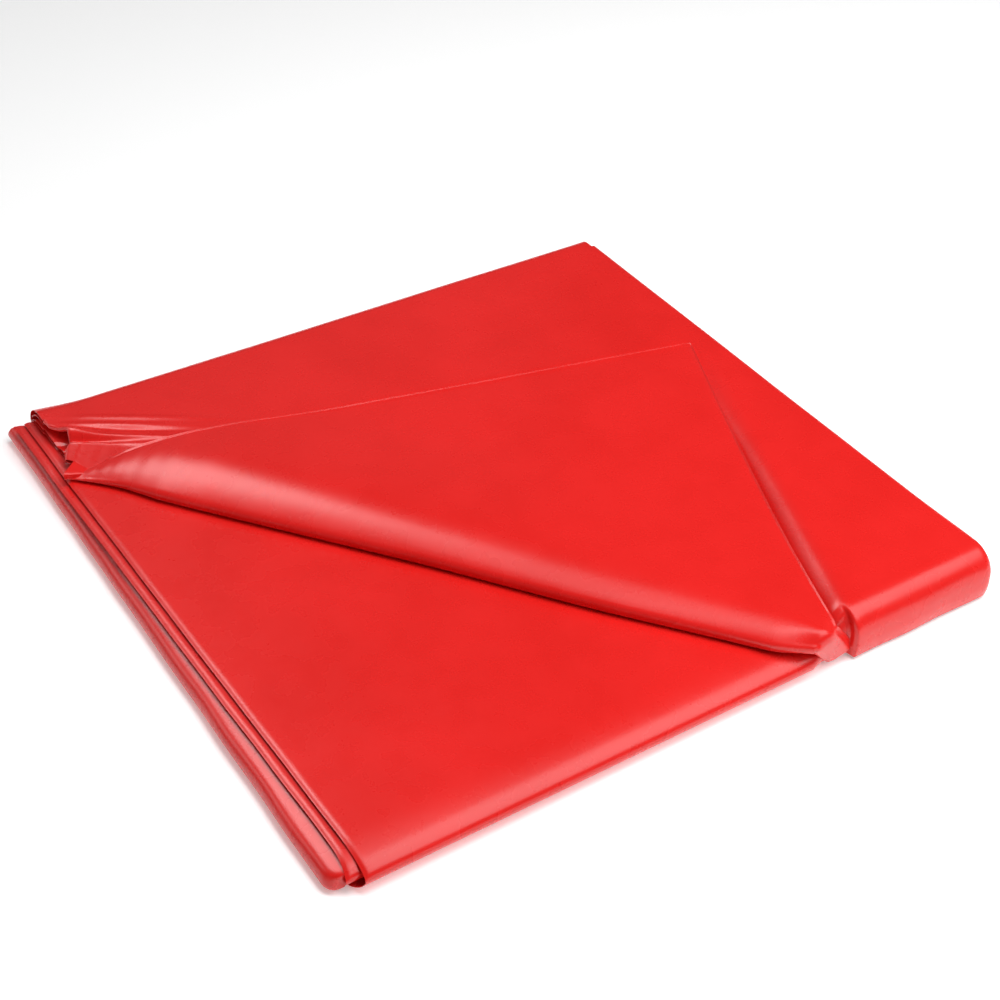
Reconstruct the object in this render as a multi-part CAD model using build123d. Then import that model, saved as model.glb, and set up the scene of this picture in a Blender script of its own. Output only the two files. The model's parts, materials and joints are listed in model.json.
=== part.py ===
from build123d import *

import os
from math import hypot

# A sheet of soft vinyl film, folded flat for storage, lying on its broad side.
# +X runs along the front fold, +Y from the front fold to the back fold, +Z up.
# The origin is the centre of the footprint, on the surface that the sheet lies on.
# The sheet is folded in four across its width, which gives four layers, and then in
# three along its length, which gives a lower, a middle and a top leaf of four layers.
# Layer 4 is the outside of the first fold: it shows on the middle leaf and underneath.
# Every node is one panel of the sheet between its folds, or one fold between panels.

# ---- overall size, in millimetres -------------------------------------------------
pack_width = 550.0
pack_depth = 530.0

# ---- the film and its spacing, from the middle of one layer to the next -----------
film = 0.4
lower_gap = 3.5
leaf_gap = 4.0
top_gap = 4.2
flap_gap = 0.9
flap_lift = 1.3

# ---- how far the edges stand back from the outline ---------------------------------
lobe_inset = [0.0, 2.0, 6.0]
cut_inset_3 = [7.0, 9.0, 11.0]
cut_inset_4 = [9.0, 13.0, 14.0]
lower_back_inset = 4.0

# ---- the end of the top leaf, turned down over the front fold ---------------------
hang_gap = 1.6
hang_clearance = 1.5
hang_inner_radius = 8.0
hang_above_floor = 3.0
hang_left_margin = 28.0

# ---- the corner of the top leaf, turned back along a slanting crease --------------
crease_left_from_front = 468.0
crease_front_from_left = 383.0
crease_end_margin = 10.0
corner_past_front = 71.0
corner_from_left = 27.0
cut_edge_past_front = 10.0
cut_edge_from_left = 367.0

layer_names = [1, 2, 3, 4]
half_width = pack_width / 2
half_depth = pack_depth / 2

# Heights of the layers' middles. The lower leaf has layer 4 at the bottom, the middle
# leaf has it on top, and the top leaf has it at the bottom again.
lower_z = {n: film / 2 + lower_gap * (4 - n) for n in layer_names}
middle_z = {n: film / 2 + lower_gap * (3 + n) for n in layer_names}
top_z = {n: middle_z[4] + leaf_gap + top_gap * (4 - n) for n in layer_names}
flap_z = {n: top_z[1] + flap_lift + flap_gap * (n - 1) for n in layer_names}

os.makedirs("parts", exist_ok=True)


def save(name, shape):
    """Writes one sub-part under its node's name."""
    shape.label = name
    export_step(shape, f"parts/{name}.step")


def panel(points, middle_height):
    """A flat piece of film with these corners, at this height."""
    outline = make_face(Polyline(*points, close=True))
    return Pos(0, 0, middle_height - film / 2) * extrude(outline, film)


def box_panel(x_low, x_high, y_low, y_high, middle_height):
    """A flat rectangular piece of film."""
    corners = [(x_low, y_low), (x_high, y_low), (x_high, y_high), (x_low, y_high)]
    return panel(corners, middle_height)


def fold(start, end, outward, low_height, high_height):
    """Half a tube of film along a line, which joins a low layer to a high one.

    start and end are the ends of the line in plan, where both layers stop, and outward
    is the horizontal direction in which the fold bulges.
    """
    radius = (high_height - low_height) / 2
    along = Vector(end[0] - start[0], end[1] - start[1], 0)
    centre = Vector(start[0], start[1], (high_height + low_height) / 2)
    section = Plane(origin=centre, x_dir=Vector(*outward, 0), z_dir=along.normalized())
    ring = Circle(radius + film / 2) - Circle(radius - film / 2)
    half = Pos(radius + film, 0) * Rectangle(2 * (radius + film), 4 * (radius + film))
    return extrude(section * (ring & half), along.length)


def mirrored_point(point, line_point, line_direction):
    """A point in plan, mirrored across a line in plan."""
    dx = point[0] - line_point[0]
    dy = point[1] - line_point[1]
    along = dx * line_direction[0] + dy * line_direction[1]
    foot_x = line_point[0] + along * line_direction[0]
    foot_y = line_point[1] + along * line_direction[1]
    return (2 * foot_x - point[0], 2 * foot_y - point[1])


# ---- where the flat panels stop and the folds begin --------------------------------
lower_right = half_width - 1.5 * lower_gap - film / 2
top_right = half_width - 1.5 * top_gap - film / 2
hang_depth = film + 3 * hang_gap
front_fold_face = -half_depth + hang_depth + hang_clearance
front_stop = front_fold_face + (middle_z[4] - lower_z[4]) / 2 + film / 2
back_stop = half_depth - (top_z[1] - middle_z[1]) / 2 - film / 2
lower_back = half_depth - lower_back_inset


def left_stops(heights, leaf):
    """The left edge of each layer of a leaf: layers 1 and 2 meet in a fold there."""
    lobe_radius = abs(heights[1] - heights[2]) / 2
    lobe = -half_width + lobe_inset[leaf] + lobe_radius + film / 2
    return {
        1: lobe,
        2: lobe,
        3: -half_width + cut_inset_3[leaf],
        4: -half_width + cut_inset_4[leaf],
    }


def side_folds(leaf_name, heights, left, right, y_low, y_high, right_y_low):
    """The left fold of layers 1 and 2, and the two nested right folds of a leaf."""
    low, high = sorted([heights[1], heights[2]])
    left_line = [(left[1], y_high), (left[1], y_low)]
    save(f"{leaf_name}_left_fold", fold(*left_line, (-1, 0), low, high))
    right_line = [(right, right_y_low), (right, y_high)]
    low, high = sorted([heights[2], heights[3]])
    save(f"{leaf_name}_right_inner_fold", fold(*right_line, (1, 0), low, high))
    low, high = sorted([heights[1], heights[4]])
    save(f"{leaf_name}_right_outer_fold", fold(*right_line, (1, 0), low, high))


# ---- lower leaf: it lies on the surface, with its cut ends at the back -------------
left = left_stops(lower_z, 0)
for n in layer_names:
    save(f"lower_layer_{n}", box_panel(left[n], lower_right, front_stop, lower_back, lower_z[n]))
side_folds("lower", lower_z, left, lower_right, front_stop, lower_back, front_stop)

# ---- middle leaf: its layer 4 is the panel that the turned-back corner uncovers ----
left = left_stops(middle_z, 1)
for n in layer_names:
    save(f"middle_layer_{n}", box_panel(left[n], lower_right, front_stop, back_stop, middle_z[n]))
side_folds("middle", middle_z, left, lower_right, front_stop, back_stop, front_stop)

# ---- front folds: four nested half tubes, lower leaf to middle leaf ----------------
for n in layer_names:
    line = [(left[n], front_stop), (lower_right, front_stop)]
    save(f"front_fold_{n}", fold(*line, (0, -1), lower_z[n], middle_z[n]))

# ---- top leaf: cut off along the crease, turned down over the front on the right ---
crease_left = (-half_width, -half_depth + crease_left_from_front)
crease_front = (-half_width + crease_front_from_left, -half_depth)
crease_run = (crease_front[0] - crease_left[0], crease_front[1] - crease_left[1])
crease_length = hypot(*crease_run)
crease_direction = (crease_run[0] / crease_length, crease_run[1] / crease_length)
crease_outward = (crease_direction[1], -crease_direction[0])


def crease_at_x(x):
    """The point of the crease line at this x."""
    share = (x - crease_left[0]) / crease_run[0]
    return (x, crease_left[1] + share * crease_run[1])


def crease_at_y(y):
    """The point of the crease line at this y."""
    share = (y - crease_left[1]) / crease_run[1]
    return (crease_left[0] + share * crease_run[0], y)


hang_y = {n: -half_depth + film / 2 + hang_gap * (n - 1) for n in layer_names}
hang_radius_step = (hang_gap + top_gap) / 2
hang_radius = {n: hang_inner_radius + hang_radius_step * (4 - n) for n in layer_names}
top_front = {n: hang_y[n] + hang_radius[n] for n in layer_names}
hang_left = crease_at_y(-half_depth)[0] + hang_left_margin

left = left_stops(top_z, 2)
for n in layer_names:
    corners = [
        (left[n], back_stop),
        (top_right, back_stop),
        (top_right, top_front[n]),
        crease_at_y(top_front[n]),
        crease_at_x(left[n]),
    ]
    save(f"top_layer_{n}", panel(corners, top_z[n]))
left_fold_front = crease_at_x(left[1])[1]
right_fold_front = max(top_front.values())
side_folds("top", top_z, left, top_right, left_fold_front, back_stop, right_fold_front)


def hang(n):
    """A layer's end, which bends down over the front fold and hangs near the floor."""
    radius = hang_radius[n]
    turn_height = top_z[n] - radius
    reach = radius + film
    quarter = Pos(-reach / 2, reach / 2) * Rectangle(reach, reach)
    bend = (Circle(radius + film / 2) - Circle(radius - film / 2)) & quarter
    drop = turn_height - hang_above_floor
    straight = Pos(hang_y[n], hang_above_floor + drop / 2) * Rectangle(film, drop)
    profile = Pos(top_front[n], turn_height) * bend + straight
    return extrude(Plane.YZ.offset(hang_left) * profile, top_right - hang_left)


for n in layer_names:
    save(f"front_hang_{n}", hang(n))

# ---- back folds: four nested half tubes, middle leaf to top leaf -------------------
for n in layer_names:
    line = [(top_right, back_stop), (-half_width + cut_inset_4[2], back_stop)]
    save(f"back_fold_{n}", fold(*line, (0, 1), middle_z[n], top_z[n]))

# ---- the turned-back corner: the mirror image of the corner that it left -----------
corner = (-half_width + corner_from_left, -half_depth - corner_past_front)
cut_end = (-half_width + cut_edge_from_left, -half_depth - cut_edge_past_front)
flap_apex = mirrored_point(corner, crease_left, crease_direction)
flap_cut_end = mirrored_point(cut_end, crease_left, crease_direction)
flap_start = crease_at_x(-half_width + cut_inset_4[2])
flap_end = crease_at_y(max(top_front.values()))
for n in layer_names:
    save(f"flap_layer_{n}", panel([flap_start, flap_end, flap_cut_end, flap_apex], flap_z[n]))

edge_run = (flap_apex[0] - flap_start[0], flap_apex[1] - flap_start[1])
edge_length = hypot(*edge_run)
edge_outward = (-edge_run[1] / edge_length, edge_run[0] / edge_length)
save("flap_edge_fold", fold(flap_apex, flap_start, edge_outward, flap_z[1], flap_z[2]))

# ---- crease rolls: each layer of the top leaf turns over into the flap -------------
roll_start = crease_at_x(flap_start[0] + crease_end_margin)
roll_end = crease_at_y(flap_end[1] + crease_end_margin)
for n in layer_names:
    save(f"crease_roll_{n}", fold(roll_start, roll_end, crease_outward, top_z[n], flap_z[n]))

print("apex of the turned-back corner", [round(c, 1) for c in flap_apex])
print("crease hinge through", [round(c, 2) for c in crease_left], "direction", crease_direction)
print("crease hinge height", round((top_z[4] + flap_z[4]) / 2, 3))
print("back hinge at y, z", round(back_stop, 3), round((middle_z[4] + top_z[4]) / 2, 3))
print("overall height", round(flap_z[4] + film / 2, 3))
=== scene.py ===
# %% [markdown]
# # A folded sheet of soft vinyl film
# The object is one large sheet of glossy red PVC film. It is folded in four across its
# width and then in three along its length, and it lies flat with one corner of its top
# leaf turned back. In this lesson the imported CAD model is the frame: it gives each
# panel's place. The film itself is remodelled here as thin sheets with soft folds,
# because flat plates and half tubes can't show how film bulges, sags and gathers.

# %% Load the frame
import bpy
import bmesh
import json
from math import sin, cos, exp, pi, radians, hypot
from mathutils import Vector, Matrix, noise


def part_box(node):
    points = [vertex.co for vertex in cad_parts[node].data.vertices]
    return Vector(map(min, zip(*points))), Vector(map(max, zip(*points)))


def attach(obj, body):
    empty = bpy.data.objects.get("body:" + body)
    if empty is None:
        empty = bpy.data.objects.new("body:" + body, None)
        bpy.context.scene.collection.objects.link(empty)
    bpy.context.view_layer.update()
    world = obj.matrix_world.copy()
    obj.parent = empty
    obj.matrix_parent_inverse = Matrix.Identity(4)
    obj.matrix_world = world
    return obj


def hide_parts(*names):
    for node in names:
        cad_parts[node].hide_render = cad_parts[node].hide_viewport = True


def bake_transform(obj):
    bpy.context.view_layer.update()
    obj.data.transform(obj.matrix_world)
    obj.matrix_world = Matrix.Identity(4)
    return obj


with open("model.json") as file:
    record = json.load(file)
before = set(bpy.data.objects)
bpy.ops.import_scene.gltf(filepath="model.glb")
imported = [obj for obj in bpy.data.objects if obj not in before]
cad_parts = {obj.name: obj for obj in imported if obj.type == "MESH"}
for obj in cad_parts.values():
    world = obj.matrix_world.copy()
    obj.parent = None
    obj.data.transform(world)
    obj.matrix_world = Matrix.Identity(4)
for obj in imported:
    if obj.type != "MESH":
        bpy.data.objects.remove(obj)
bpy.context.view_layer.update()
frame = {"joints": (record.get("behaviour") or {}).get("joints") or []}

# %% [markdown]
# ## Sizes from the frame
# The layers' heights and the pack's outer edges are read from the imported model's boxes,
# in millimetres. The soft shapes, such as the roll, the lobe and the gathers, are drawn
# in millimetres for a pack of this size, and have to be redrawn for another one. Layers
# are numbered 1 to 4, and layer 4 is the outside of the first fold.

# %% Read the layers' heights and edges
MM = 0.001
layers = (1, 2, 3, 4)


def box_mm(node):
    """A CAD node's lowest and highest corner in millimetres."""
    low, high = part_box(node)
    return low / MM, high / MM


def middle(node, axis=2):
    """The middle of a node's box along one axis."""
    low, high = box_mm(node)
    return (low[axis] + high[axis]) / 2


lower_z = [middle(f"lower_layer_{n}") for n in layers]
middle_z = [middle(f"middle_layer_{n}") for n in layers]
top_z = [middle(f"top_layer_{n}") for n in layers]
thickness = box_mm("lower_layer_1")[1].z - box_mm("lower_layer_1")[0].z
front_stop = box_mm("middle_layer_1")[0].y
back_stop = box_mm("middle_layer_1")[1].y
lower_back = box_mm("lower_layer_1")[1].y
lower_right = box_mm("middle_layer_1")[1].x
top_right = box_mm("top_layer_1")[1].x
front_face = box_mm("front_hang_1")[0].y
left_face = box_mm("lower_left_fold")[0].x
hang_left = box_mm("front_hang_1")[0].x
print("layer heights", [round(z, 1) for z in lower_z + middle_z + top_z])


def at_layer(heights, layer):
    """The height at a layer number that may lie between two layers, as in a fold."""
    step = min(max(int(layer) - 1, 0), 2)
    share = layer - 1 - step
    return heights[step] * (1 - share) + heights[step + 1] * share


# %% [markdown]
# ## Small helpers for soft shapes
# A fold never starts at a hard line. `ease` goes softly from 0 to 1, `hump` rises and
# falls, `table` reads a value that changes along a fold, and `curve` draws a soft line
# through a few points.

# %% Soft steps, tables and curves
def ease(low, high, value):
    """0 below low, 1 above high, and a soft step between them."""
    share = min(max((value - low) / (high - low), 0.0), 1.0)
    return share * share * (3 - 2 * share)


def mix(a, b, share):
    """The value a given share of the way from a to b."""
    return a + (b - a) * share


def table(places, values, place):
    """A value read softly from a short table."""
    if place <= places[0]:
        return values[0]
    for k in range(1, len(places)):
        if place <= places[k]:
            share = (place - places[k - 1]) / (places[k] - places[k - 1])
            share = share * share * (3 - 2 * share) * 0.5 + share * 0.5
            return mix(values[k - 1], values[k], share)
    return values[-1]


def curve(points, share):
    """A point on the soft line through these points."""
    spot = min(max(share, 0.0), 1.0) * (len(points) - 1)
    k = min(int(spot), len(points) - 2)
    t = spot - k
    p1, p2 = points[k], points[k + 1]
    p0 = points[k - 1] if k else [2 * a - b for a, b in zip(p1, p2)]
    p3 = points[k + 2] if k + 2 < len(points) else [2 * b - a for a, b in zip(p1, p2)]
    out = []
    for a, b, c, d in zip(p0, p1, p2, p3):
        out.append(0.5 * (2 * b + (c - a) * t + (2 * a - 5 * b + 4 * c - d) * t * t
                          + (3 * b - a - 3 * c + d) * t * t * t))
    return out


def hump(value, centre, width):
    """A soft bump, 1 at its centre."""
    return exp(-((value - centre) / width) ** 2)


def ripple(x, y, seed, size=110.0, height=0.45):
    """The slight waviness of film that lies flat."""
    return height * noise.noise(Vector((x / size, y / size, seed)))


# %% [markdown]
# ## Calendered soft PVC
# The film is plasticised PVC that was rolled flat between polished rollers. It is dyed
# through, so its colour hardly changes, but its gloss does: the surface has a fine
# orange-peel grain, shallow waves from the rollers, and faint rub marks. Each pattern's
# size is given in millimetres, and the grain is drawn coarser than the real one, which
# is too fine to show. Patterns read Object coordinates, since the finished pieces lie
# unmoved in the frame. An IOR of 1.53 is typical of PVC.

# %% Colour from sRGB, and one function that adds a node
def colour(code):
    """A hex colour turned from sRGB to linear."""
    parts = [int(code[k:k + 2], 16) / 255 for k in (0, 2, 4)]
    return [c / 12.92 if c <= 0.04045 else ((c + 0.055) / 1.055) ** 2.4 for c in parts] + [1.0]


def add(tree, kind, values=None, links=None):
    """One node, with its sockets' values and what feeds them."""
    node = tree.nodes.new("ShaderNode" + kind)
    for key, value in (values or {}).items():
        node.inputs[key].default_value = value
    for key, source in (links or {}).items():
        tree.links.new(source, node.inputs[key])
    return node


# %% The film's material
cloud_size, rub_size, wave_size, grain_size = 71.4, 18.2, 26.3, 1.11
wave_depth, grain_depth = 0.6, 0.12


def vinyl(name, base, deep, roughness):
    """Soft calendered PVC film in one colour."""
    material = bpy.data.materials.new(name)
    material.use_nodes = True
    tree = material.node_tree
    shader = tree.nodes["Principled BSDF"]
    place = add(tree, "TexCoord").outputs["Object"]

    def pattern(size, detail):
        """A cloudy pattern with features of this size in millimetres."""
        values = {"Scale": 1 / (size * MM), "Detail": detail}
        return add(tree, "TexNoise", values, {"Vector": place}).outputs["Fac"]

    shade = add(tree, "ValToRGB", links={"Fac": pattern(cloud_size, 3.0)})
    shade.color_ramp.elements[0].position = 0.35
    shade.color_ramp.elements[1].position = 0.65
    shade.color_ramp.elements[0].color = colour(deep)
    shade.color_ramp.elements[1].color = colour(base)
    tree.links.new(shade.outputs["Color"], shader.inputs["Base Color"])
    gloss = add(tree, "MapRange", {"To Min": roughness - 0.03, "To Max": roughness + 0.04},
                {"Value": pattern(rub_size, 4.0)})
    tree.links.new(gloss.outputs["Result"], shader.inputs["Roughness"])
    waves = add(tree, "Bump", {"Strength": 0.25, "Distance": wave_depth * MM},
                {"Height": pattern(wave_size, 2.0)})
    grain = add(tree, "Bump", {"Strength": 0.2, "Distance": grain_depth * MM},
                {"Height": pattern(grain_size, 2.0), "Normal": waves.outputs["Normal"]})
    tree.links.new(grain.outputs["Normal"], shader.inputs["Normal"])
    shader.inputs["IOR"].default_value = 1.53
    shader.inputs["Metallic"].default_value = 0.0
    return material


film_red = vinyl("calendered_red_pvc", "E9201D", "E21C18", 0.27)
print("material", film_red.name)

# %% [markdown]
# ## From a flat grid to a folded sheet
# Each sheet starts as a flat grid, as the film starts as a flat cut. Its points are
# then moved to where the folded film lies. A live Solidify modifier gives the film its
# thickness, so every piece is a closed shell. A cloth solver could make such folds too.
# It wasn't used here, because twelve thin layers in close contact are hard to settle, and
# the folds' radii have to stay where the joints turn.

# %% One function makes every sheet
def sheet_of_film(across, along, place, kept=None):
    """A grid whose point (i, j) is moved to place(i, j), in millimetres.

    kept(i, j) says whether the film has the cell whose first corner is (i, j).
    """
    mesh = bmesh.new()
    bmesh.ops.create_grid(mesh, x_segments=across, y_segments=along, size=0.5)
    if kept:
        spare = []
        for face in mesh.faces:
            spot = face.calc_center_median()
            if not kept(int((spot.x + 0.5) * across), int((spot.y + 0.5) * along)):
                spare.append(face)
        bmesh.ops.delete(mesh, geom=spare, context="FACES")
    for point in mesh.verts:
        i = round((point.co.x + 0.5) * across)
        j = round((point.co.y + 0.5) * along)
        point.co = Vector(place(i, j)) * MM
    return mesh


def finish_film(name, mesh, material):
    """Turns the bmesh into a smooth object with the film's thickness."""
    data = bpy.data.meshes.new(name)
    for face in mesh.faces:
        face.smooth = True
    for edge in mesh.edges:
        edge.smooth = not edge.is_boundary
    mesh.to_mesh(data)
    mesh.free()
    piece = bpy.data.objects.new(name, data)
    bpy.context.scene.collection.objects.link(piece)
    data.materials.append(material)
    wall = piece.modifiers.new("film thickness", "SOLIDIFY")
    wall.thickness = thickness * MM
    wall.offset = 0.0
    print(name, len(data.vertices), "points")
    return piece


# %% [markdown]
# ## Four layers as one zigzag
# Across its width the sheet runs as a zigzag: layer 3 from its cut edge to the right,
# a small fold, layer 2 back to the left, the left fold, layer 1 to the right, a large
# fold round the others, and layer 4 back to its cut edge. `zigzag` lists the points of
# that run, and each leaf then lays them out at its own heights. The columns are narrow
# at the cut edges, because the film curls there.

# %% The zigzag's stations
cut_edge_shares = [0.0, 0.0012, 0.0026, 0.0042, 0.0062]
first_wide_share = 0.0075
small_fold_steps, left_fold_steps, large_fold_steps = 8, 20, 14


def shares(count):
    """Steps from 0 to 1 that are closer together near both ends."""
    out = []
    for k in range(count + 1):
        q = k / count
        out.append(mix(q, 0.5 - 0.5 * cos(pi * q), 0.75))
    return out


def with_edge(steps):
    """The same steps with a few narrow ones at the cut edge."""
    return cut_edge_shares + [q for q in steps if q > first_wide_share]


def turns(steps):
    """The angles of the points inside a half turn."""
    return [pi * k / steps for k in range(1, steps)]


def zigzag(panel_steps, steps_1, steps_4):
    """(kind, layer, share across or turn of the fold) for each point across the sheet."""
    out = [("panel", 3.0, q) for q in with_edge(shares(panel_steps))]
    out += [("right", 2.5 + 0.5 * cos(t), sin(t) / 3) for t in turns(small_fold_steps)]
    out += [("panel", 2.0, q) for q in reversed(shares(panel_steps))]
    out += [("left", 1.5 + 0.5 * cos(t), t / pi) for t in turns(left_fold_steps)]
    out += [("panel", 1.0, q) for q in shares(steps_1)]
    out += [("right", 2.5 - 1.5 * cos(t), sin(t)) for t in turns(large_fold_steps)]
    out += [("panel", 4.0, q) for q in reversed(with_edge(shares(steps_4)))]
    return out


# %% [markdown]
# ## Lower and middle leaves
# These two leaves are one run of film that turns over at the front, nested four deep.
# The outermost layer, 4, is the panel that the turned-back corner uncovers. On the left
# the layers' edges step back, and the fold between layers 1 and 2 sags over the lower
# leaf as one soft lobe.

# %% Edges of the lower and middle leaves
lower_steps, turn_steps, middle_steps = 20, 26, 56
turn_margin = 6.0
leaf_back = back_stop - turn_margin
turn_height = (lower_z[0] + middle_z[0]) / 2
lower_edges = {1: 15.0, 2: 15.0, 3: 8.0, 4: 6.0}
fold_inset = 19.0
corner_reach = 27.0


def middle_edge(layer, y):
    """The left edge of a layer of the middle leaf at this depth."""
    if layer < 3:
        return left_face + fold_inset
    back_share = (y - front_stop) / (back_stop - front_stop)
    if layer == 3:
        return left_face + mix(6.0, -5.5, back_share) + 0.8 * noise.noise(Vector((y / 60, 7, 0)))
    return left_face + mix(13.0, 1.5, back_share) + 0.5 * noise.noise(Vector((y / 70, 9, 0)))


def tip(x):
    """How far the leaves' back left corner reaches past the back fold's line."""
    return corner_reach * ease(left_face + 55, left_face - 5, x)


# %% The lobe on the left
lobe_reach, lobe_nose, lobe_back_reach = 8.3, 17.0, 14.0
rumple_side, rumple_front = 3.0, 2.4


def lobe(turn, y):
    """The sagging left fold of the middle leaf: its x and height."""
    x0 = left_face
    swell = mix(0.35, 1.0, ease(back_stop, front_stop + 60, y))
    wobble = 0.9 * noise.noise(Vector((y / 45, 3, 0)))
    points = [
        (x0 + fold_inset, middle_z[1]), (x0 + 9, middle_z[1] - 0.4),
        (x0 + 3.0 - 1.0 * swell, 16.3), (x0 - 4.6 + wobble, 14.3 + 0.4 * wobble),
        (x0 - lobe_reach + wobble, 8.0), (x0 - lobe_reach + 2.0, 2.6), (x0 - 1, 1.2),
        (x0 + 3.5, 6.5), (x0 + 9, 12.4), (x0 + fold_inset, middle_z[0]),
    ]
    return curve(points, turn)


# %% Steps of the run along its length
front_bulge, outer_reach = 7.7, 15.0
under_from, under_to = 104, 124


def place_along(layer, j):
    """Which stretch row j is on, how far round the front turn, and its y and height."""
    low, high = at_layer(lower_z, layer), at_layer(middle_z, layer)
    radius = (high - low) / 2
    reach = outer_reach * ((layer - 1) / 3) ** 1.5
    if j <= lower_steps:
        return "lower", 1.0, mix(lower_back, front_stop, j / lower_steps), low
    if j > lower_steps + turn_steps:
        q = shares(middle_steps)[j - lower_steps - turn_steps]
        return "middle", 0.0, mix(front_stop + reach, leaf_back, q), high
    angle = pi * (j - lower_steps) / turn_steps
    stretch, extra = ("over", reach) if angle > pi / 2 else ("under", 0.0)
    bulge = front_bulge * 2 * radius / (middle_z[3] - lower_z[3])
    y = front_stop + extra - (radius + extra + bulge) * sin(angle)
    return stretch, 1 - angle / pi, y, turn_height - radius * cos(angle)


def panel_left(side, stretch, turn, y):
    """The left edge of a layer's panel on this stretch."""
    tuck = 3.0 if side == 3 else 0.0
    if stretch == "lower":
        return left_face + lower_edges[side]
    if stretch == "under":
        top_left = middle_edge(side, front_stop) - tuck
        return mix(top_left, left_face + lower_edges[side], ease(0.5, 1.0, turn))
    return middle_edge(side, y) - (tuck * ease(0.0, 0.5, turn) if stretch == "over" else 0.0)


def lobe_point(share, stretch, turn, y, z):
    """A point of the left fold, which sags on the middle leaf and tapers at the front."""
    x = left_face + 17 - 1.75 * sin(pi * share)
    if stretch not in ("middle", "over"):
        return x, y, z
    x_sag, z_sag = lobe(share, y)
    sag = 1.0 if stretch == "middle" else 1 - ease(0.0, 0.45, turn)
    x, z = mix(x, x_sag, sag), mix(z, z_sag, sag)
    if stretch == "over":
        push = lobe_nose * sin(min(turn / 0.28, 1.0) * pi / 2)
        y = mix(y, front_stop - push, sag)
        rumple = sag * min(1.0, turn / 0.15)
        x += rumple_side * rumple * noise.noise(Vector((x / 5, y / 6, z / 9)))
        y += rumple_front * rumple * noise.noise(Vector((x / 4, 8, z / 7)))
    return x, y, z


# %% Where a point of the lower or middle leaf lies
edge_curl, dimple_depth = 1.3, 1.7


def two_leaves(station, j):
    """Lower leaf from the back to the front, the front turn, and the middle leaf back."""
    kind, layer, share = station
    stretch, turn, y, z = place_along(layer, j)
    flat = ease(0.0, 45.0, y - front_stop)
    if kind == "panel":
        left = panel_left(int(round(layer)), stretch, turn, y)
        x = mix(left, lower_right, share)
    elif kind == "right":
        x = lower_right + 1.5 * (lower_z[0] - lower_z[1]) * share
    else:
        x, y, z = lobe_point(share, stretch, turn, y, z)
    if stretch in ("over", "under"):
        y += (front_stop - y) * 0.38 * ease(under_from, under_to, x) * sin(pi * turn)
    if kind == "panel" and layer > 2.5 and stretch in ("middle", "over"):
        z -= edge_curl * ease(3.4, -0.6, x - left)
    if stretch == "middle":
        back_reach = tip(x) + (lobe_back_reach * sin(pi * share) if kind == "left" else 0.0)
        y += back_reach * ease(back_stop - 90, back_stop, y)
        z += flat * ripple(x, y, 1.0 + 0.2 * layer)
        if layer > 2.5:
            z -= dimple_depth * hump(hypot(x - left_face - 12, y - back_stop + 64), 0, 22)
    if stretch == "lower":
        y += tip(x) * ease(back_stop - 90, back_stop, y)
        z += 0.4 * flat * ripple(x, y, 5.0)
    return x, y, max(z, thickness / 2)


# %% Make the lower and middle leaves
stations = zigzag(34, 34, 60)
rows = lower_steps + turn_steps + middle_steps
mesh = sheet_of_film(len(stations) - 1, rows, lambda i, j: two_leaves(stations[i], j))
leaves = finish_film("lower_and_middle_leaves", mesh, film_red)
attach(leaves, "lower_stack")
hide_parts(*[f"lower_layer_{n}" for n in layers],
            *[f"middle_layer_{n}" for n in layers],
            *[f"front_fold_{n}" for n in layers],
            "lower_left_fold", "lower_right_inner_fold", "lower_right_outer_fold",
            "middle_left_fold", "middle_right_inner_fold", "middle_right_outer_fold")

# %% [markdown]
# ## The crease and the turned-back corner in numbers
# The slanting crease is the second joint's axis. Points near it are measured by how far
# they lie along the crease, from its left end, and by how far behind it.

# %% Measure along and behind the crease
crease_joint = next(j for j in frame["joints"] if j["name"] == "corner_flap_opening")
crease_start = Vector(crease_joint["pos_m"]) / MM
crease_along = Vector(crease_joint["axis"]).normalized()
crease_behind = Vector((-crease_along.y, crease_along.x, 0))


def crease_point(along, behind, height):
    """The place at these distances along and behind the crease."""
    spot = crease_start + crease_along * along + crease_behind * behind
    return spot.x, spot.y, height


def from_crease(x, y):
    """How far along and behind the crease a place in plan lies."""
    way = Vector((x, y, 0)) - Vector((crease_start.x, crease_start.y, 0))
    return way.dot(crease_along), way.dot(crease_behind)


flap_right = box_mm("flap_layer_4")[1].x
flap_apex_y = 69.9
flap_apex = from_crease(flap_right, flap_apex_y)
flap_start, flap_tip_behind = 16.0, -8.8
flap_end = (612.0, -12.9)
edge_bow = 11.0
print("apex of the corner, along and behind the crease", flap_apex)

# %% [markdown]
# ## The roll in tables
# The roll changes along its length: it stands tall near its left end, where the film is
# pulled, and is low and round towards the front. Short tables give, at a few places
# along the crease, how far it bulges forward, how high its crown and its front shoulder
# stand, and how far behind the crease its crown lies.

# %% The roll and the corner above the top leaf
along_knots = [16, 26, 35, 45, 55, 65, 80, 95, 130, 200, 300, 450, 570, 605]
roll_bulge = [9.0, 7.8, 7.4, 7.2, 7.0, 7.2, 8.8, 10.6, 11.3, 11.5, 12.0, 16.4, 16.0, 8.0]
roll_crown = [27.2, 29.4, 32.8, 36.8, 40.2, 42.8, 45.4, 47.0, 49.0, 48.6, 47.0, 45.2, 44.0, 42.0]
roll_shoulder = [26.7, 27.8, 29.4, 31.2, 32.6, 33.8, 34.8, 35.6, 36.0, 36.2, 36.4, 36.5, 36.0, 35.0]
crown_behind = [-6, 3, 9, 17, 24, 31, 34, 36, 36, 34, 30, 22, 12, 4]
flat_height = top_z[0] + 1.8
layer_gap, roll_gap = 0.45, 1.3
shoulder_behind = 3.0
nose_start, nose_height, nose_turn, nose_length = 600.0, 15.0, 1.15, 25.0
straight_from = 22.0


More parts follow.
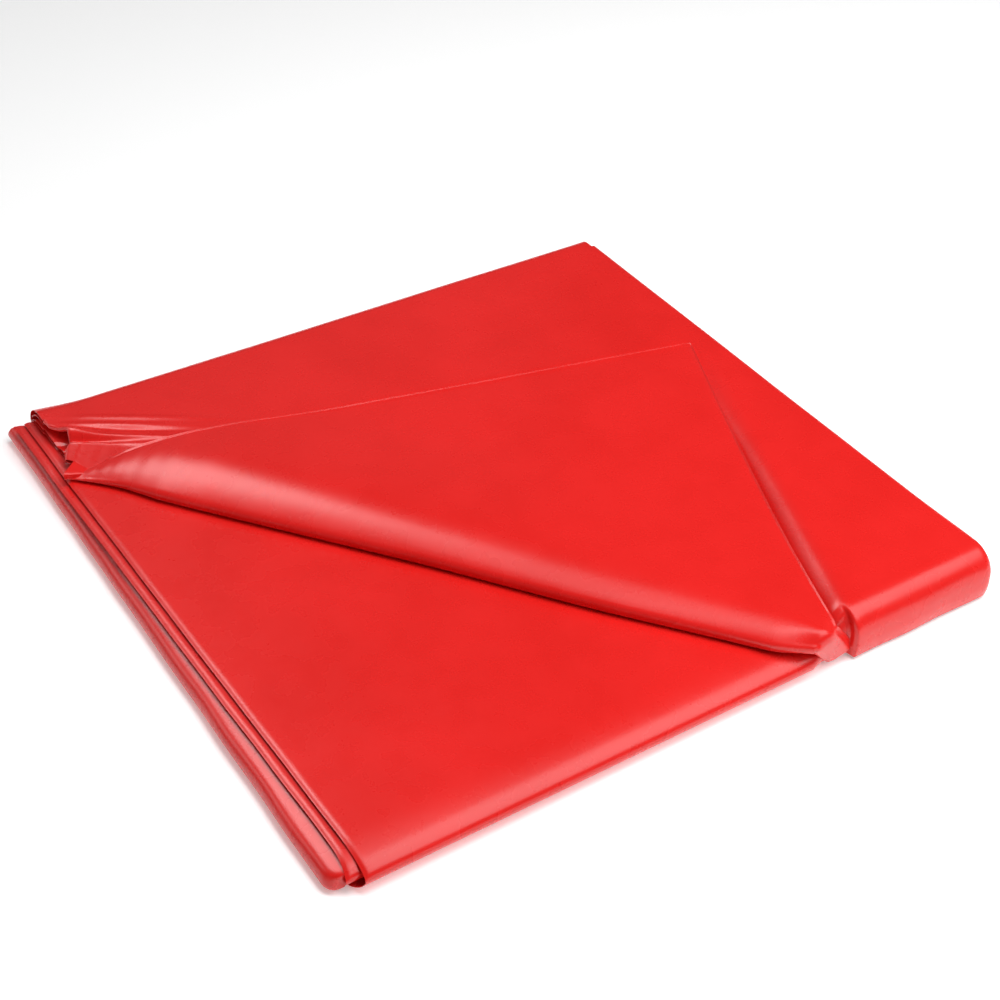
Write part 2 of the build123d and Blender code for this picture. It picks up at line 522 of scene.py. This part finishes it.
def far_edge(along):
    """How far behind the crease the corner reaches at this place along it."""
    if along > flap_apex[0]:
        share = (along - flap_apex[0]) / (flap_end[0] - flap_apex[0])
        return mix(flap_apex[1], flap_end[1], share) + 2.14 * edge_bow * share ** 4
    straight = flap_apex[1] * (along - straight_from) / (flap_apex[0] - straight_from)
    pinched = mix(flap_tip_behind, flap_apex[1], (along - flap_start) / (flap_apex[0] - flap_start))
    return mix(pinched, straight, ease(flap_start, 60, along))


def roll_top(along, behind, layer):
    """The height of the corner's layer behind the roll's shoulder."""
    crown = table(along_knots, roll_crown, along)
    shoulder = table(along_knots, roll_shoulder, along)
    edge = shoulder_behind - table(along_knots, roll_bulge, along)
    peak = max(table(along_knots, crown_behind, along), edge + 1)
    if behind < peak:
        share = min(max((behind - edge) / (peak - edge), 0.0), 1.0)
        height = crown - (crown - shoulder) * (1 - share) ** 2.2
    else:
        height = mix(crown, flat_height, ease(peak, peak + 100, behind))
    room = (height - middle_z[3] - 0.2) / 8.5
    height -= (4 - layer) * min(layer_gap + roll_gap * ease(45, 0, behind), max(room, 0.05))
    x, y, _ = crease_point(along, behind, 0)
    return height + ripple(x, y, 2.0) * ease(peak, peak + 60, behind)


def under_corner(x, y):
    """The height that the top leaf has to stay under, below the corner and round it."""
    along, behind = from_crease(x, y)
    held = min(max(along, flap_start), flap_end[0])
    edge = far_edge(held)
    spot = min(max(behind, 3.0 - table(along_knots, roll_bulge, held)), edge)
    away = hypot(max(0.0, behind - edge), 0.35 * (along - held))
    return roll_top(held, spot, 1) - 0.5 + 0.62 * away


# %% [markdown]
# ## Top leaf
# The top leaf runs from the back fold to the crease on the left, and bends down over
# the front on the right, where the sheet's cut ends hang. It dips beside the
# turned-back corner, and its film gathers in a few ridges where the crease starts, with
# the layers standing open like a mouth at the left edge.

# %% Beside the turned-back corner
front_radius, front_gap, front_reach = 22.0, 1.6, 2.5
bend_start = front_face + thickness / 2 + front_radius - front_reach
edge_run = Vector((flap_end[0] - flap_apex[0], flap_end[1] - flap_apex[1]))
edge_length = edge_run.length


def beside_corner(x, y):
    """Share along the corner's right edge, and how far right of it a place lies."""
    along, behind = from_crease(x, y)
    way = Vector((along - flap_apex[0], behind - flap_apex[1]))
    down = way.dot(edge_run) / edge_length
    right = (way.x * -edge_run.y + way.y * edge_run.x) / edge_length
    return down / edge_length, right - edge_bow * max(0.0, down / edge_length) ** 4


# %% The height of the top leaf
# Each ridge: height, place across, drift, half width, place along and half length.
ridges = [
    (5.4, 1.0, 0.0, 5.0, 12, 24), (1.3, -3.0, 0.03, 2.2, 62, 45),
    (-3.2, -8.0, 0.02, 3.0, 24, 36), (4.4, -16.0, 0.06, 4.5, 20, 34),
    (1.3, 12.0, 0.03, 3.0, 45, 42), (-1.0, 6.5, 0.02, 2.5, 70, 45),
    (1.0, 22.0, 0.02, 3.2, 62, 55),
]
ridge_run, ridge_rise = 0.84, 0.54


def gathers(x, y, layer):
    """The ridges of the film near the crease's left end, where the layers stand open."""
    dx, dy = x - (left_face + 9), y - (back_stop - 26)
    run, rise = ridge_run * dx - ridge_rise * dy, ridge_rise * dx + ridge_run * dy
    hold = mix(0.35, 1.0, ease(leaf_back, leaf_back - 16, y))
    if layer > 2.5:
        return -3.0 * hump(rise, 0, 16) * hump(run, 0, 40) * hold
    lift = 0.0
    for height, across, drift, width, place, length in ridges:
        lift += height * hump(rise, across + run * drift, width) * hump(run, place, length)
    return lift * hold


def soft_min(a, b, width):
    """The lower of two heights, with a soft change from one to the other."""
    near = max(width - abs(a - b), 0.0) / width
    return min(a, b) - near * near * width / 4


def valley(x, y):
    """How deep the leaf dips right of the corner's edge, most of all near the front."""
    down, right = beside_corner(x, y)
    depth = 1.2 + 2.5 * ease(0.02, 0.16, down) + 9.6 * ease(0.12, 0.65, down)
    width = 15.0 + 4.0 * ease(0.3, 0.7, down) - 11.0 * ease(0.8, 1.02, down)
    if right > 2.0:
        dip = depth * max(0.0, 1 - (right - 2.0) / (1.25 * width)) ** 2.1
    else:
        dip = depth * hump(right, 2, 40)
    return dip * ease(-0.08, 0.1, down)


def top_height(x, y, layer):
    """The height of a layer of the top leaf."""
    top = top_z[0] - valley(x, y) + ripple(x, y, 2.0) + gathers(x, y, 1)
    top = soft_min(top, under_corner(x, y), 3.0)
    gap = (top_z[0] - top_z[3]) / 3
    gap = mix(gap, front_gap, ease(70, 0, y - bend_start))
    gap = min(gap, max((top - middle_z[3] - 0.3) / 3.2, 0.1))
    if layer > 1:
        top -= (layer - 1) * gap
        if layer > 2.5:
            top += min(0.0, gathers(x, y, layer) - gathers(x, y, 1)) * ease(0.2, 3.5, gap)
    return top


# %% Where a point of the top leaf lies
crease_margin = 4.0
top_steps = 106
fine_from, fine_to = 0.62, 0.80
top_lobe = 2.1
edge_knots = [195, 203, 211, 219, 227, 238, 262]
edge_insets = {1: [9, 11, 14, 20, 22, 13, 9], 3: [9, 11, 12, 12, 11, 10, 8.5]}
# How far the corner's right edge runs left for each millimetre forward, and its depth.
edge_slope, edge_depth = 0.4214, 345.0


def top_front(x):
    """Where the top leaf stops: at the crease, or where its end bends down."""
    ahead = crease_margin - crease_behind.x * (x - crease_start.x)
    return max(crease_start.y + ahead / crease_behind.y, bend_start)


def across_top(left, share, y):
    """The x of a share across the leaf, with narrow steps along the corner's right edge."""
    ahead = max(0.0, flap_apex_y - y)
    edge_x = flap_right - edge_slope * ahead + 1.08 * edge_bow * (ahead / edge_depth) ** 4
    begin, stop = edge_x - 4.0, min(edge_x + 20.0, top_right - 4.0)
    if share < fine_from:
        return mix(left, begin, share / fine_from)
    if share < fine_to:
        return mix(begin, stop, (share - fine_from) / (fine_to - fine_from))
    return mix(stop, top_right, (share - fine_to) / (1 - fine_to))


def top_leaf(station, j):
    """The top leaf from the back fold to the front."""
    kind, layer, share = station
    q = mix(j / top_steps, (j / top_steps) ** 2, 0.5)
    y_left = mix(leaf_back, top_front(left_face + 6.0), q)
    left = left_face + table(edge_knots, edge_insets[1 if layer < 2.5 else 3], y_left)
    if kind == "panel":
        # The x and the y of a point depend on each other, and settle in a few rounds.
        x = across_top(left, share, y_left)
        for settling in range(3):
            x = across_top(left, share, mix(leaf_back, top_front(x), q))
    elif kind == "right":
        x = top_right + 1.5 * (top_z[0] - top_z[1]) * share
    else:
        x = left - top_lobe * sin(pi * share)
    y = mix(leaf_back, top_front(x), q)
    return x, y, top_height(x, y, layer)


# %% Make the top leaf and bend its end down over the front
top_stations = zigzag(34, 170, 34)
hang_start = hang_left - 28.0
bend_steps, drop_steps = 14, 8
hang_bottom = 3.0
set_back, set_back_at = 9.0, hang_left + 4.5


def end_of_leaf(row, x, layer, start_z):
    """A point of the hanging end, by its row, from the bend down to near the floor."""
    radius = front_radius - front_gap * (layer - 1)
    if row <= bend_steps:
        angle = pi / 2 * row / bend_steps
        y = bend_start - radius * sin(angle)
        z = start_z - radius * (1 - cos(angle))
    else:
        q = (row - bend_steps) / drop_steps
        y = bend_start - radius
        z = mix(start_z - radius, hang_bottom, q)
        y -= 0.8 * sin(pi * q) - 0.6 * q
    y += 0.7 * noise.noise(Vector((x / 35, z / 30, 4)))
    y += set_back * ease(set_back_at + 1, set_back_at - 1, x) * min(1.0, row / 8)
    return x, y, z


def top_and_end(station, j):
    """The top leaf, and below its front row the hanging end."""
    if j <= top_steps:
        return top_leaf(station, j)
    x, y, z = top_leaf(station, top_steps)
    return end_of_leaf(j - top_steps, x, station[1], z)


def has_film(i, j):
    """The leaf's end hangs down only right of the turned-back corner."""
    front_x = [top_leaf(top_stations[k], top_steps)[0] for k in (i, i + 1)]
    return j < top_steps or min(front_x) >= hang_start


mesh = sheet_of_film(len(top_stations) - 1, top_steps + bend_steps + drop_steps,
                     lambda i, j: top_and_end(top_stations[i], j), has_film)
top = finish_film("top_leaf_sheet", mesh, film_red)
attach(top, "top_leaf")
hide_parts(*[f"top_layer_{n}" for n in layers],
            *[f"front_hang_{n}" for n in layers],
            "top_left_fold", "top_right_inner_fold", "top_right_outer_fold")

# %% [markdown]
# ## Back fold
# Behind, the middle leaf turns over into the top leaf, again four layers deep. When the
# top leaf opens, each layer's turn has to straighten. Here each is a piece of its own, a
# half turn from the middle leaf up to the top leaf, left outside both bodies.

# %% Make the four turns of the back fold
back_across, back_along, strip_rows = 60, 22, 2
back_insets = {1: 9.5, 2: 9.5, 3: 8.5, 4: 8.5}


def back_turn(n, i, j):
    """One layer's turn at the back, with a narrow flat strip below and above it."""
    x = mix(left_face + back_insets[n], top_right, shares(back_across)[i])
    low, high = middle_z[n - 1], top_height(x, leaf_back, n)
    radius = (high - low) / 2
    if j < strip_rows:
        turned, y, z = 0.0, back_stop - turn_margin * (1 - j / strip_rows), low
    elif j > back_along - strip_rows:
        turned, z = 1.0, high
        y = back_stop - turn_margin * (1 - (back_along - j) / strip_rows)
    else:
        turned = (j - strip_rows) / (back_along - 2 * strip_rows)
        y = back_stop + radius * sin(pi * turned)
        z = (low + high) / 2 - radius * cos(pi * turned)
    y += tip(x) * (1 - turned)
    y += 0.5 * sin(pi * turned) * noise.noise(Vector((x / 70, 2 * n, 0)))
    return x, y, z


for n in layers:
    mesh = sheet_of_film(back_across, back_along, lambda i, j: back_turn(n, i, j))
    turn = finish_film(f"back_turn_{n}", mesh, film_red)
    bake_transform(turn)
    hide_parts(f"back_fold_{n}")

# %% [markdown]
# ## The turned-back corner
# The corner and the roll of its crease are one sheet per layer, so nothing parts between
# them. Each runs from the top leaf round its roll into the corner. The roll starts narrow
# at its left end and ends in a nose that goes down over the front edge.

# %% Sections of the roll
def roll_under(along, layer):
    """The lower part of a layer's roll, from the top leaf round to its shoulder."""
    inner = 4 - layer
    x, y, _ = crease_point(along, crease_margin, 0)
    foot = top_height(x, y, layer)
    edge = -table(along_knots, roll_bulge, along)
    shoulder = table(along_knots, roll_shoulder, along)
    if layer < 4:
        edge = min(edge + 5 + 1.6 * inner, 1.5, far_edge(along) - 3)
        turn_top = roll_top(along, edge + 1.5, layer)
        return [(crease_margin, foot), (edge + 1.2, mix(foot, turn_top, 0.1)),
                (edge, mix(foot, turn_top, 0.5)), (edge + 1.5, turn_top),
                (edge + 5, roll_top(along, edge + 5, layer))]
    under = middle_z[3] + 1.3 * ease(flap_start, 60, along) + 0.3
    step = min(4.0, 0.4 * (far_edge(along) - edge))
    return [(crease_margin, foot), (edge + 7, mix(under, foot, 0.35)), (edge + 1.8, under + 0.3),
            (edge, mix(under, shoulder, 0.4)), (edge + 0.7, mix(under, shoulder, 0.75)),
            (edge + shoulder_behind, shoulder),
            (edge + shoulder_behind + step, roll_top(along, edge + shoulder_behind + step, 4))]


# %% Columns along the crease
section_steps, beyond_steps, rim_steps = 24, 48, 4
rim_width, rim_curl = 2.8, 0.9
left_columns, right_columns, nose_columns = 80, 46, 22


def corner_columns():
    """Places along the crease, closer together at its ends, with one at the apex."""
    steps = [k / left_columns for k in range(left_columns)]
    first = [mix(flap_start, flap_apex[0], mix(q, q * q, 0.6)) for q in steps]
    second = [mix(flap_apex[0], nose_start, k / right_columns) for k in range(right_columns)]
    length = nose_height * nose_turn + nose_length
    nose = [nose_start + length * k / nose_columns for k in range(nose_columns + 1)]
    return first + second + nose


columns = corner_columns()
rolls = {(layer, i): roll_under(min(along, flap_end[0]), layer)
         for i, along in enumerate(columns) for layer in layers}
print(len(columns), "columns along the crease")


# %% Where a point of the corner lies
def past_roll(held, start, end, layer, j):
    """A point of the corner beyond its roll, with narrow rows at its curled rim."""
    rim = min(rim_width, 0.3 * (end - start))
    q = (j - section_steps) / (beyond_steps - rim_steps)
    if q <= 1.0:
        behind = mix(start, end - rim, mix(q, q * q, 0.3))
    else:
        behind = mix(end - rim, end, (q - 1) * (beyond_steps - rim_steps) / rim_steps)
    z = roll_top(held, behind, layer)
    if layer == 4:
        z += rim_curl * ease(end - rim, end, behind) * ease(30, 60, held)
    return behind, z


def nose_bend(along, behind, z):
    """The nose goes over the front edge, and leans to the right as it goes down."""
    angle = min((along - nose_start) / nose_height, nose_turn)
    straight = max(0.0, along - nose_start - nose_height * nose_turn)
    axis_z = flat_height - nose_height
    held = nose_start + (z - axis_z) * sin(angle) + straight * cos(angle)
    lower = axis_z + (z - axis_z) * cos(angle) - straight * sin(angle)
    behind = behind * (1 - 0.012 * straight) + 0.74 * max(z - lower, 0.0)
    return crease_point(held, behind, max(lower, 2.0))


def corner_film(layer, i, j):
    """A point of a layer of the turned-back corner and its roll."""
    along = columns[i]
    held = min(along, flap_end[0])
    points = rolls[layer, i]
    start = points[-2][0]
    end = max(far_edge(held) - 0.4 * (4 - layer), start + 0.3)
    if j <= section_steps:
        behind, z = curve(points, j / section_steps * (len(points) - 2) / (len(points) - 1))
    else:
        behind, z = past_roll(held, start, end, layer, j)
    if along > nose_start:
        return nose_bend(along, behind, z)
    return crease_point(held, behind, z)


# %% Make the corner's four layers
bend_lean, merge_distance = 0.3, 0.05
for layer in layers:
    mesh = sheet_of_film(len(columns) - 1, section_steps + beyond_steps,
                         lambda i, j: corner_film(layer, i, j))
    bmesh.ops.remove_doubles(mesh, verts=mesh.verts, dist=merge_distance * MM)
    corner = finish_film(f"corner_layer_{layer}", mesh, film_red)
    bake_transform(corner)
    nodes = [f"flap_layer_{layer}", f"crease_roll_{layer}"] + (["flap_edge_fold"] if layer == 1 else [])
    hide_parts(*nodes)

# %% [markdown]
# ## Floor, light and camera
# The sheet lies on a plain pale floor that glows a little, so it stays white. One broad
# soft light at the front right makes the flat panels an even red and brightens the front
# fold. A second, behind on the left, only shows as a reflection, such as the long shine
# on the roll. Weak lights above, over the middle and on the left keep the shadows and
# the left edge open, and a wide dim one far behind is mirrored by the flat panels.

# %% The floor
floor_mesh = bmesh.new()
bmesh.ops.create_grid(floor_mesh, x_segments=1, y_segments=1, size=7.0)
floor_data = bpy.data.meshes.new("floor")
floor_mesh.to_mesh(floor_data)
floor_mesh.free()
floor = bpy.data.objects.new("floor", floor_data)
bpy.context.scene.collection.objects.link(floor)
paint = bpy.data.materials.new("white_floor")
paint.use_nodes = True
surface = paint.node_tree.nodes["Principled BSDF"].inputs
surface["Base Color"].default_value = colour("FBFBFB")
surface["Roughness"].default_value = 0.9
surface["Emission Color"].default_value = colour("FFFFFF")
surface["Emission Strength"].default_value = 0.27
floor_data.materials.append(paint)


# %% The lights
def soft_light(name, place, target, size, power, diffuse=True, glossy=True):
    """A rectangular soft light that lights the film, shows in its gloss, or both."""
    data = bpy.data.lights.new(name, "AREA")
    data.shape = "RECTANGLE"
    data.size, data.size_y = size
    data.energy = power
    lamp = bpy.data.objects.new(name, data)
    bpy.context.scene.collection.objects.link(lamp)
    lamp.location = place
    way = Vector(target) - Vector(place)
    lamp.rotation_euler = way.to_track_quat("-Z", "Y").to_euler()
    lamp.visible_diffuse, lamp.visible_glossy = diffuse, glossy


soft_light("behind_left", (-0.50, 1.05, 1.7), (-0.50, 1.05, 0), (0.95, 1.1), 19.0, diffuse=False)
soft_light("front_right", (0.95, -1.30, 1.7), (0.95, -1.30, 0), (2.1, 1.9), 38.0)
soft_light("middle_card", (-0.10, -0.05, 1.7), (-0.10, -0.05, 0), (0.8, 1.1), 3.5)
soft_light("top_fill", (0.35, -0.25, 2.0), (0.35, -0.25, 0), (1.1, 1.1), 20.0, glossy=False)
soft_light("left_fill", (-2.1, 1.9, 1.3), (-0.2, 0, 0), (1.4, 1.2), 9.0)
soft_light("far_back", (0.6, 3.2, 1.9), (0.3, 2.2, 0), (3.0, 1.2), 1.5)

# %% The room: a pale wall where it is seen, and dim where it lights the film
room_light, wall_seen = 0.1, 0.95
world = bpy.data.worlds.new("studio")
world.use_nodes = True
rays = add(world.node_tree, "LightPath")
glow = add(world.node_tree, "MapRange", {"To Min": room_light, "To Max": wall_seen},
           {"Value": rays.outputs["Is Camera Ray"]})
backdrop = world.node_tree.nodes["Background"]
backdrop.inputs["Color"].default_value = colour("FFFFFF")
world.node_tree.links.new(glow.outputs["Result"], backdrop.inputs["Strength"])
bpy.context.scene.world = world
bpy.context.scene.view_settings.view_transform = "Standard"

# %% The camera
camera_place = (-0.58508, -0.86682, 0.87324)
heading, pitch, tilt = radians(34.432), radians(39.158), radians(2.368)
camera_data = bpy.data.cameras.new("camera")
camera_data.lens, camera_data.sensor_width = 62.47, 36.0
camera = bpy.data.objects.new("camera", camera_data)
bpy.context.scene.collection.objects.link(camera)
look = Vector((sin(heading) * cos(pitch), cos(heading) * cos(pitch), -sin(pitch)))
aside = Vector((cos(heading), -sin(heading), 0))
upward = aside.cross(look)
side_axis = aside * cos(tilt) + upward * sin(tilt)
top_axis = upward * cos(tilt) - aside * sin(tilt)
facing = Matrix((side_axis, top_axis, -look)).transposed()
camera.matrix_world = Matrix.Translation(camera_place) @ facing.to_4x4()
bpy.context.scene.camera = camera
print("camera at", camera_place)
